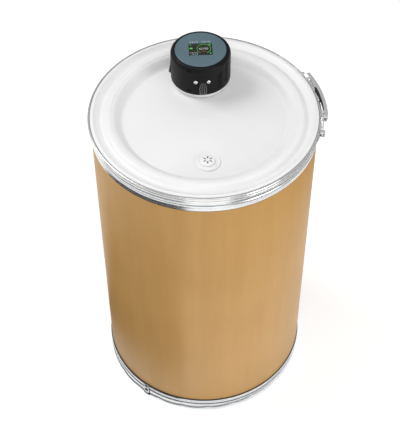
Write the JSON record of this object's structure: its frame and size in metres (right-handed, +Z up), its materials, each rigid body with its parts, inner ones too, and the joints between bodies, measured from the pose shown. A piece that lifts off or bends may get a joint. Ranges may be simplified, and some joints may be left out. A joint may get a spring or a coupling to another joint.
{
  "type": "lever-lock fibre drum",
  "caption": "Open-head fibreboard drum with steel chimes, a white moulded lid under a lever-lock closing ring, a round display unit and a breather vent.",
  "frame": {"origin": "bottom centre of the whole object's box, on the plane the drum stands on", "axes": "+Z up along the drum's axis; +X towards the closing lever; -Y towards the front, where the display reads the right way up"},
  "size_m": [0.4945, 0.481, 0.8495],
  "materials": {
    "kraft": "smooth brown kraft paper, faint vertical sheen",
    "board": "plain fibreboard",
    "steel": "galvanised sheet",
    "zinc": "bright zinc plate",
    "lid": "white moulded polyethylene, satin",
    "seal": "black sponge rubber",
    "housing": "black moulded plastic, satin",
    "faceplate": "slate blue-grey plate, fine satin",
    "display": "black display window",
    "circuit": "green circuit board",
    "battery": "blue shrink wrap",
    "filter": "pale felt"
  },
  "bodies": {
    "drum_body": {"fibre_wall": "kraft", "bottom_head": "board", "bottom_chime": "steel", "bottom_chime_joint": "steel", "top_chime": "steel"},
    "closing_ring": {"lock_band": "zinc", "hinge_bracket": "zinc", "link_bracket": "zinc", "rivet_hinge_near": "zinc", "rivet_hinge_far": "zinc", "rivet_anchor_near": "zinc", "rivet_anchor_far": "zinc", "lever_pin_upper": "zinc", "lever_pin_lower": "zinc", "link_anchor_pin": "zinc", "seal_eye": "zinc"},
    "lever": {"lever_handle": "zinc", "lever_pad": "seal"},
    "link": {"link_plate": "zinc", "link_pin": "zinc"},
    "lid": {"lid_cover": "lid", "lid_gasket": "seal", "mount_base": "lid", "mount_gasket": "seal", "mount_nut": "lid", "vent_body": "lid", "vent_o_ring": "seal", "vent_nut": "lid", "vent_filter": "filter"},
    "vent_top": {"vent_cap": "lid"},
    "control_unit": {"housing": "housing", "housing_base": "housing", "faceplate": "faceplate", "display_glass": "display", "display_module": "circuit", "main_board": "circuit", "battery": "battery", "sensor_probe": "housing", "fan_frame": "housing", "clip_screw_left": "zinc", "clip_screw_right": "zinc", "base_screw_1": "zinc", "base_screw_2": "zinc", "base_screw_3": "zinc"},
    "fan": {"fan_rotor": "housing"},
    "front_clip": {"clip_front": "housing"},
    "left_clip": {"clip_left": "housing"}
  },
  "joints": [
    {"name": "ring_lift", "type": "slide", "parent": "drum_body", "child": "closing_ring", "axis": [0, 0, 1], "range_m": [0, 0.5]},
    {"name": "lid_lift", "type": "slide", "parent": "drum_body", "child": "lid", "axis": [0, 0, 1], "range_m": [0, 0.25]},
    {"name": "lever_swing", "type": "hinge", "parent": "closing_ring", "child": "lever", "pos_m": [0.24163, -0.01041, 0.7715], "axis": [0, 0, -1], "range_deg": [0, 110]},
    {"name": "link_swing", "type": "hinge", "parent": "closing_ring", "child": "link", "pos_m": [0.23343, -0.05545, 0.7715], "axis": [0, 0, -1], "range_deg": [0, 24]},
    {"name": "unit_lift", "type": "slide", "parent": "lid", "child": "control_unit", "axis": [0, 0, 1], "range_m": [0, 0.08]},
    {"name": "vent_cap_lift", "type": "slide", "parent": "lid", "child": "vent_top", "axis": [0, 0, 1], "range_m": [0, 0.03]},
    {"name": "fan_spin", "type": "hinge", "parent": "control_unit", "child": "fan", "pos_m": [0.02605, 0.0895, 0.8095], "axis": [0.866, -0.5, 0], "continuous": true},
    {"name": "front_clip_press", "type": "hinge", "parent": "control_unit", "child": "front_clip", "pos_m": [-0.00946, 0.05122, 0.8075], "axis": [0.9965, 0.0837, 0], "range_deg": [0, 4], "stiffness_Nm_per_rad": 0.5},
    {"name": "left_clip_press", "type": "hinge", "parent": "control_unit", "child": "left_clip", "pos_m": [-0.07605, 0.12163, 0.8075], "axis": [-0.1392, -0.9903, 0], "range_deg": [0, 4], "stiffness_Nm_per_rad": 0.5}
  ],
  "couplings": [
    {"joint": "lid_lift", "follows": "ring_lift", "ratio": 0.5},
    {"joint": "link_swing", "follows": "lever_swing", "ratio": 0.2145}
  ]
}
